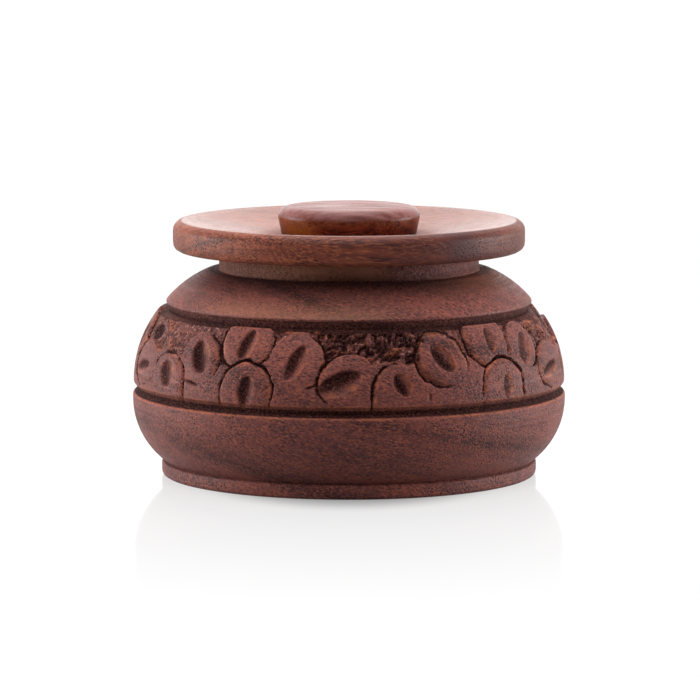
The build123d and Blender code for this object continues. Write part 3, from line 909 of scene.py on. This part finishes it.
def turning_group():
    """Fine rings that the turner's tool left: noise along the height and the radius, in millimetres."""
    group, given, results = new_group("turning_lines", [], ["Ring"])
    place = given["Vector"]
    radius = length(group, scaled(group, place, (1, 1, 0)))
    height = add(group, "ShaderNodeSeparateXYZ", {0: place}).outputs["Z"]
    along = math_node(group, "ADD", height, product(group, radius, 1.7))
    group.links.new(noise_along(group, along, scale=2.2, detail=3.0, roughness=0.7), results["Ring"])
    return group


def wear_group():
    """Wear in broken patches: a mark on the mesh, cut up by noise in millimetres."""
    group, given, results = new_group("broken_wear", ["Worn"], ["Share"])
    clouds = noise(group, given["Vector"], scale=0.7, detail=4.0, roughness=0.75)
    patches = spread(group, clouds, 0.36, 0.6)
    group.links.new(product(group, given["Worn"], patches), results["Share"])
    return group


# Finishes

GRAIN_SWAY = 3.0        # millimetres by which the growth layers wander
GRAIN = grain_group()
TURNING = turning_group()
WEAR = wear_group()

# How a piece lies in its wood: the direction of its fibres, the direction across its growth layers, how far
# away their middle is, the gap from streak to streak, a fleck's width as a share of its length and the gap
# from pore to pore. Its colours are linear, its roughness is the least and the most, and its bump is a
# depth.
Wood = namedtuple(
    "Wood", "fibre across middle gap dash pore_gap plain deep streak fleck pore roughness shine bump")

BOWL_WOOD = Wood(
    fibre=(1, 0, -0.29), across=(0.29, 0.14, 1), middle=111.9, gap=10.86, dash=0.45, pore_gap=0.34,
    plain=(0.18, 0.056, 0.047, 1), deep=(0.1, 0.036, 0.036, 1), streak=(0.026, 0.012, 0.015, 1),
    fleck=(0.38, 0.105, 0.06, 1), pore=(0.05, 0.018, 0.018, 1),
    roughness=(0.45, 0.62), shine=0.13, bump=0.06)
LID_WOOD = Wood(
    fibre=(1, 0.15, 0), across=(0, 0.5, 0.9), middle=60, gap=5.5, dash=0.12, pore_gap=0.36,
    plain=(0.25, 0.066, 0.036, 1), deep=(0.13, 0.034, 0.023, 1), streak=(0.07, 0.022, 0.018, 1),
    fleck=(0.42, 0.125, 0.058, 1), pore=(0.022, 0.007, 0.009, 1),
    roughness=(0.45, 0.55), shine=0.13, bump=0.03)
KNOB_WOOD = Wood(
    fibre=(1, -0.1, 0), across=(0, 0.7, 0.7), middle=40, gap=4.2, dash=0.1, pore_gap=0.6,
    plain=(0.115, 0.014, 0.007, 1), deep=(0.06, 0.009, 0.006, 1), streak=(0.02, 0.006, 0.006, 1),
    fleck=(0.26, 0.05, 0.014, 1), pore=(0.02, 0.005, 0.005, 1),
    roughness=(0.27, 0.34), shine=0.078, bump=0.006)
DARK_GRIT = (0.5, 0.36)     # values of the fibre noise at which dark grit begins and is full
PALE_GRIT = (0.53, 0.64)

# A linear colour that lies over the wood, and how strong it is where its mask is 1
Paint = namedtuple("Paint", "colour strength")

WORN_ORANGE = (0.42, 0.12, 0.052, 1)
# wear, and painted highlights on gouge rims and lips
BOWL_WEAR_AND_HIGHLIGHT = Paint(WORN_ORANGE, 0.85)
LID_WEAR = Paint(WORN_ORANGE, 0.35)
KNOB_WEAR = Paint(WORN_ORANGE, 0.3)
# near-black for dark cut wood and for painted shade in cuts, grooves, corners, the neck and the lid's shadow
CUT_DARK_AND_SHADE = Paint((0.014, 0.002, 0.0015, 1), 0.96)
CUT_ROUGHNESS = 0.95
GROUND_PLUM = Paint((0.07, 0.02, 0.018, 1), 0.5)
GROUND_RED = Paint((0.26, 0.07, 0.05, 1), 0.6)
GROUND_GLINT = Paint((0.5, 0.36, 0.36, 1), 0.7)
TORN_HEIGHT = 6.0           # of torn grain against the wood's own bump
# pale sapwood, also used to paint light on the neck's front and on the shoulder
SAPWOOD_AND_PAINTED_LIGHT = Paint((0.42, 0.175, 0.1, 1), 0.8)
HEARTWOOD = Paint((0.055, 0.018, 0.019, 1), 0.7)
DISH_ORANGE = Paint((0.31, 0.09, 0.052, 1), 0.4)
DISH_ROUGHNESS = 0.18
# painted shadow of the knob on the dish
KNOB_SHADOW_RED = Paint((0.1, 0.018, 0.011, 1), 0.8)
SEAT_ROUGHNESS = 0.55
# painted light: an orange glow on the knob's side
GLOWING_ORANGE = Paint((0.36, 0.11, 0.02, 1), 0.5)
# painted sheen on the knob's bevel
PAINTED_SHEEN_MAUVE = (0.26, 0.12, 0.115, 1)
TOP_RED = (0.24, 0.055, 0.04, 1)
STREAK_STRENGTH = (0.25, 0.75)
TOP_ROUGHNESS = (0.2, 0.45)

# A wood material that a finish adds to, with the sockets that hold its place, looks and wear so far
Surface = namedtuple("Surface", "material tree place colour roughness height worn")


def grain_turn(fibre, across):
    """The turn that brings the fibre direction to X and the direction across the growth layers to Z."""
    up = Vector(across).normalized()
    along = Vector(fibre)
    along = (along - up * along.dot(up)).normalized()
    return Matrix((along, up.cross(along), up)).to_euler()


def mark(tree, name):
    """A mark stored on the mesh's points."""
    return add(tree, "ShaderNodeAttribute", attribute_name=name).outputs["Fac"]


def group_node(tree, group, inputs):
    """The outputs of a node group placed in a material, with its inputs set or linked."""
    return add(tree, "ShaderNodeGroup", inputs, node_tree=group).outputs


def painted(tree, colour, layers):
    """A colour under layers of paint, each with the mask that says where it lies."""
    for mask, paint in layers:
        colour = blend(tree, product(tree, mask, paint.strength), colour, paint.colour)
    return colour


def wood(name, cut_from):
    """A wood material with its grain turned and placed on the piece."""
    material = bpy.data.materials.new(name)
    material.use_nodes = True
    tree = material.node_tree
    tree.nodes["Principled BSDF"].inputs["Specular IOR Level"].default_value = cut_from.shine
    place = in_millimetres(tree)
    turned = add(tree, "ShaderNodeMapping", {
        "Vector": place,
        "Location": (0, 0, cut_from.middle),
        "Rotation": grain_turn(cut_from.fibre, cut_from.across),
    }).outputs[0]
    grain = group_node(tree, GRAIN, {
        "Vector": turned,
        "Layer Gap": cut_from.gap,
        "Dash": cut_from.dash,
        "Pore Gap": cut_from.pore_gap,
    })
    ring = group_node(tree, TURNING, {"Vector": place})["Ring"]
    worn = group_node(tree, WEAR, {"Vector": place, "Worn": mark(tree, "worn")})["Share"]
    colour = painted(tree, blend(tree, grain["Tone"], cut_from.deep, cut_from.plain), [
        (grain["Streak"], Paint(cut_from.streak, 0.9)),
        (spread(tree, grain["Fibre"], *DARK_GRIT), Paint(cut_from.streak, 0.7)),
        (spread(tree, grain["Fibre"], *PALE_GRIT), Paint(cut_from.fleck, 0.5)),
        (grain["Fleck"], Paint(cut_from.fleck, 0.6)),
        (grain["Pore"], Paint(cut_from.pore, 0.85)),
    ])
    roughness = spread(tree, math_node(tree, "ADD", grain["Fibre"], ring), 0.7, 1.3, *cut_from.roughness)
    height = math_node(tree, "ADD", math_node(tree, "SUBTRACT", grain["Fibre"], grain["Pore"]), ring)
    return Surface(material, tree, place, colour, roughness, height, worn)


def finish(surface, colour, roughness, height, bump):
    """The surface's material with a colour, a roughness and a bump, whose depth is in millimetres."""
    tree = surface.tree
    shader = tree.nodes["Principled BSDF"]
    bumps = add(tree, "ShaderNodeBump", {"Height": height, "Distance": bump * MM, "Strength": 1.0})
    tree.links.new(colour, shader.inputs["Base Color"])
    tree.links.new(roughness, shader.inputs["Roughness"])
    tree.links.new(bumps.outputs[0], shader.inputs["Normal"])
    return surface.material


def bowl_wood():
    """Dark wood with pale sapwood at the neck, painted light on the neck's front and shoulder, torn grain
    with painted glints, edges with wear and painted highlights, and painted shade in cuts, grooves and
    corners and under the lid.
    """
    surface = wood("bowl_rosewood", BOWL_WOOD)
    tree = surface.tree
    ragged = noise(tree, surface.place, scale=4.0, roughness=0.6)
    line = math_node(tree, "ADD", mark(tree, "line"), spread(tree, ragged, 0.3, 0.7, -0.45, 0.45))
    cut_hard = spread(tree, mark(tree, "hardness"), 0.05, 0.5)
    line = product(tree, spread(tree, line, 1.0, 0.6), cut_hard)
    shade = product(tree, mark(tree, "cut"), spread(tree, ragged, 0.3, 0.7, 0.6, 1.2))
    rough = mark(tree, "rough")
    torn = noise(tree, surface.place, scale=2.4, detail=4.0, roughness=0.75)
    torn_dark = product(tree, rough, spread(tree, torn, 0.46, 0.39))
    torn_red = product(tree, rough, spread(tree, torn, 0.54, 0.6))
    glint = product(tree, rough, spread(tree, torn, 0.6, 0.65))
    # painted shade of outline lines, cuts, grooves, corners and the lid's shadow, with dark torn grain
    dark = math_node(tree, "MAXIMUM", math_node(tree, "MAXIMUM", line, shade), torn_dark)
    colour = painted(tree, surface.colour, [
        (mark(tree, "sapwood_and_painted_light"), SAPWOOD_AND_PAINTED_LIGHT),
        (rough, GROUND_PLUM),
        (torn_red, GROUND_RED),
        (glint, GROUND_GLINT),
        (surface.worn, BOWL_WEAR_AND_HIGHLIGHT),
        (dark, CUT_DARK_AND_SHADE),
    ])
    roughness = mixed(tree, dark, surface.roughness, CUT_ROUGHNESS)
    torn_height = product(tree, product(tree, rough, torn), TORN_HEIGHT)
    height = math_node(tree, "ADD", surface.height, torn_height)
    return finish(surface, colour, roughness, height, BOWL_WOOD.bump)


def lid_wood():
    """Lighter, redder wood with fibres from side to side, dark heartwood in its rim, and a polished dish
    with a painted shadow of the knob round the knob, where it is also dull."""
    surface = wood("lid_rosewood", LID_WOOD)
    tree = surface.tree
    dish = mark(tree, "dish")
    knob_shadow = mark(tree, "knob_shadow")
    colour = painted(tree, surface.colour, [
        (mark(tree, "heart"), HEARTWOOD),
        (surface.worn, LID_WEAR),
        (dish, DISH_ORANGE),
        (knob_shadow, KNOB_SHADOW_RED),
    ])
    roughness = mixed(tree, dish, surface.roughness, DISH_ROUGHNESS)
    roughness = mixed(tree, knob_shadow, roughness, SEAT_ROUGHNESS)
    return finish(surface, colour, roughness, surface.height, LID_WOOD.bump)


def knob_wood():
    """Polished dark red wood, with a painted sheen in streaks on its bevel, red streaks on its top, and a
    painted orange glow of light on one side.
    """
    surface = wood("knob_rosewood", KNOB_WOOD)
    tree = surface.tree
    top = mark(tree, "top")
    streaks = noise(tree, stretched(tree, surface.place, 0.15), scale=1.2, detail=3.0, roughness=0.6)
    streaks = spread(tree, streaks, 0.3, 0.65, *STREAK_STRENGTH)
    fibres = noise(tree, stretched(tree, surface.place, 0.1), scale=1.6, detail=4.0, roughness=0.7)
    colour = painted(tree, surface.colour, [
        (surface.worn, KNOB_WEAR),
        (mark(tree, "glow"), GLOWING_ORANGE),
        (mark(tree, "bevel_sheen"), Paint(PAINTED_SHEEN_MAUVE, streaks)),
        (top, Paint(TOP_RED, streaks)),
    ])
    roughness = mixed(tree, top, surface.roughness, spread(tree, fibres, 0.3, 0.7, *TOP_ROUGHNESS))
    return finish(surface, colour, roughness, surface.height, KNOB_WOOD.bump)


# Stage

FLOOR_HALF = 1500           # half the width of the floor
FLOOR_GREY = 0.15
# Light that the floor adds where it is seen: each step rises over a reach in millimetres from the box's
# axis, and reaches count less towards the sides. Beside the foot it adds least, which paints a shadow round
# the foot.
FLOOR_LIFT = 0.3
LIFT_STEPS = [((23, 34), 0.35), ((34, 130), 0.11), ((250, 700), 0.25)]
SIDE_REACH = 1.6
FLOOR_SHINE = (0.2, 0.0)    # how much the floor mirrors, beside the foot and further away
SHINE_REACH = (22, 100)
FLOOR_SHINE_ROUGHNESS = 0.08
AMBIENT = 0.55              # the world's light on surfaces
FRONT_SHARE = 0.12          # the room in front of the box is this dim against the white sweep behind it
ROOM_FADE = (-0.7, 0.3)     # how far back a direction points where the room begins to be white and is white
FRONT_REACH = (-300, -40)   # where the floor's own reflection in the box fades towards the front
LENS = 252.3
SENSOR = 36
CAMERA_PLACE = (0, -620, 92)
CAMERA_AIM = (0.13, 0, 15.72)
LAMP_AIM = (0, 0, 15)
# Name, place, width and height, and watts of each soft lamp
LAMPS = [
    ("top_softbox", (0, 120, 520), (500, 500), 3.0),
    ("front_softbox", (-60, -390, 520), (400, 400), 2.4),
    ("left_softbox", (-420, 60, 50), (300, 100), 1.8),
    ("right_softbox", (420, 60, 50), (300, 100), 1.8),
    ("back_softbox", (0, 450, 250), (500, 500), 0.65),
]


def seen_rays(tree):
    """1 for camera rays, and 1 for rays that see a place in a reflection or through glass."""
    path = add(tree, "ShaderNodeLightPath")
    mirrored = math_node(tree, "MAXIMUM", path.outputs["Is Glossy Ray"], path.outputs["Is Transmission Ray"])
    return path.outputs["Is Camera Ray"], mirrored


def floor_shader(tree):
    """A matt shader that mirrors faintly beside the foot and is lifted towards white where it is seen, least
    beside the foot, which paints a shadow there.
    """
    matt = add(tree, "ShaderNodeBsdfDiffuse", {"Color": (FLOOR_GREY, FLOOR_GREY, FLOOR_GREY, 1)})
    white = {"Color": (1, 1, 1, 1), "Roughness": FLOOR_SHINE_ROUGHNESS}
    shine = add(tree, "ShaderNodeBsdfAnisotropic", white)
    place = in_millimetres(tree)
    gloss = spread(tree, length(tree, place), *SHINE_REACH, *FLOOR_SHINE)
    from_foot = length(tree, scaled(tree, place, (SIDE_REACH, 1, 1)))
    lift = FLOOR_LIFT
    for reach, rise in LIFT_STEPS:
        lift = math_node(tree, "ADD", lift, spread(tree, from_foot, *reach, 0.0, rise))
    camera, mirrored = seen_rays(tree)
    depth = add(tree, "ShaderNodeSeparateXYZ", {0: place}).outputs["Y"]
    in_front = spread(tree, depth, *FRONT_REACH, FRONT_SHARE, 1.0)
    seen = math_node(tree, "MAXIMUM", camera, product(tree, mirrored, in_front))
    glow = add(tree, "ShaderNodeEmission", {"Strength": product(tree, seen, lift)})
    sheet = add(tree, "ShaderNodeMixShader", {0: gloss, 1: matt.outputs[0], 2: shine.outputs[0]})
    return add(tree, "ShaderNodeAddShader", {0: sheet.outputs[0], 1: glow.outputs[0]}).outputs[0]


def make_floor():
    """A wide white sheet under the box."""
    half = FLOOR_HALF * MM
    corners = [(-half, -half, 0), (half, -half, 0), (half, half, 0), (-half, half, 0)]
    mesh = bpy.data.meshes.new("floor")
    mesh.from_pydata(corners, [], [(0, 1, 2, 3)])
    floor = bpy.data.objects.new("floor", mesh)
    bpy.context.scene.collection.objects.link(floor)
    material = bpy.data.materials.new("white_sweep")
    material.use_nodes = True
    tree = material.node_tree
    tree.nodes.remove(tree.nodes["Principled BSDF"])
    tree.links.new(floor_shader(tree), tree.nodes["Material Output"].inputs["Surface"])
    mesh.materials.append(material)


def make_world():
    """A white room, dimmer in front of the box, that the camera sees as plain white."""
    world = bpy.data.worlds.new("white_room")
    bpy.context.scene.world = world
    world.use_nodes = True
    tree = world.node_tree
    background = tree.nodes["Background"]
    background.inputs["Color"].default_value = (1, 1, 1, 1)
    direction = add(tree, "ShaderNodeTexCoord").outputs["Generated"]
    depth = add(tree, "ShaderNodeSeparateXYZ", {0: direction}).outputs["Y"]
    room = spread(tree, depth, *ROOM_FADE, FRONT_SHARE, 1.0)
    camera, mirrored = seen_rays(tree)
    level = mixed(tree, mirrored, product(tree, room, AMBIENT), room)
    level = mixed(tree, camera, level, 1.0)
    tree.links.new(level, background.inputs["Strength"])


def make_lamp(name, place, size, watts):
    """A soft rectangular lamp that points at the box."""
    lamp = bpy.data.lights.new(name, "AREA")
    lamp.shape = "RECTANGLE"
    lamp.size = size[0] * MM
    lamp.size_y = size[1] * MM
    lamp.energy = watts
    holder = bpy.data.objects.new(name, lamp)
    holder.location = Vector(place) * MM
    holder.rotation_euler = (Vector(LAMP_AIM) - Vector(place)).to_track_quat("-Z", "Y").to_euler()
    holder.visible_camera = False
    bpy.context.scene.collection.objects.link(holder)


def make_camera():
    """A long lens a little above the box, as in the photograph."""
    camera = bpy.data.cameras.new("camera")
    camera.sensor_width = SENSOR
    camera.lens = LENS
    camera.clip_start = 0.01
    holder = bpy.data.objects.new("camera", camera)
    eye = Vector(CAMERA_PLACE)
    holder.location = eye * MM
    holder.rotation_euler = (Vector(CAMERA_AIM) - eye).to_track_quat("-Z", "Y").to_euler()
    bpy.context.scene.collection.objects.link(holder)
    bpy.context.scene.camera = holder


# How each piece is made and finished, and the node, body and material slot that it belongs to
PIECES = [
    (make_bowl, bowl_wood, "bowl", "bowl", "bowl_wood"),
    (make_lid, lid_wood, "lid", "lid", "lid_wood"),
    (make_knob, knob_wood, "knob", "lid", "knob_wood"),
]
for make_piece, make_finish, node, body, slot in PIECES:
    piece = make_piece()
    piece.data.materials.append(make_finish())
    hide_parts(node)
    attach(piece, body)

make_floor()
make_world()
for lamp_name, lamp_place, lamp_size, lamp_watts in LAMPS:
    make_lamp(lamp_name, lamp_place, lamp_size, lamp_watts)
make_camera()
bpy.context.scene.view_settings.view_transform = "Standard"
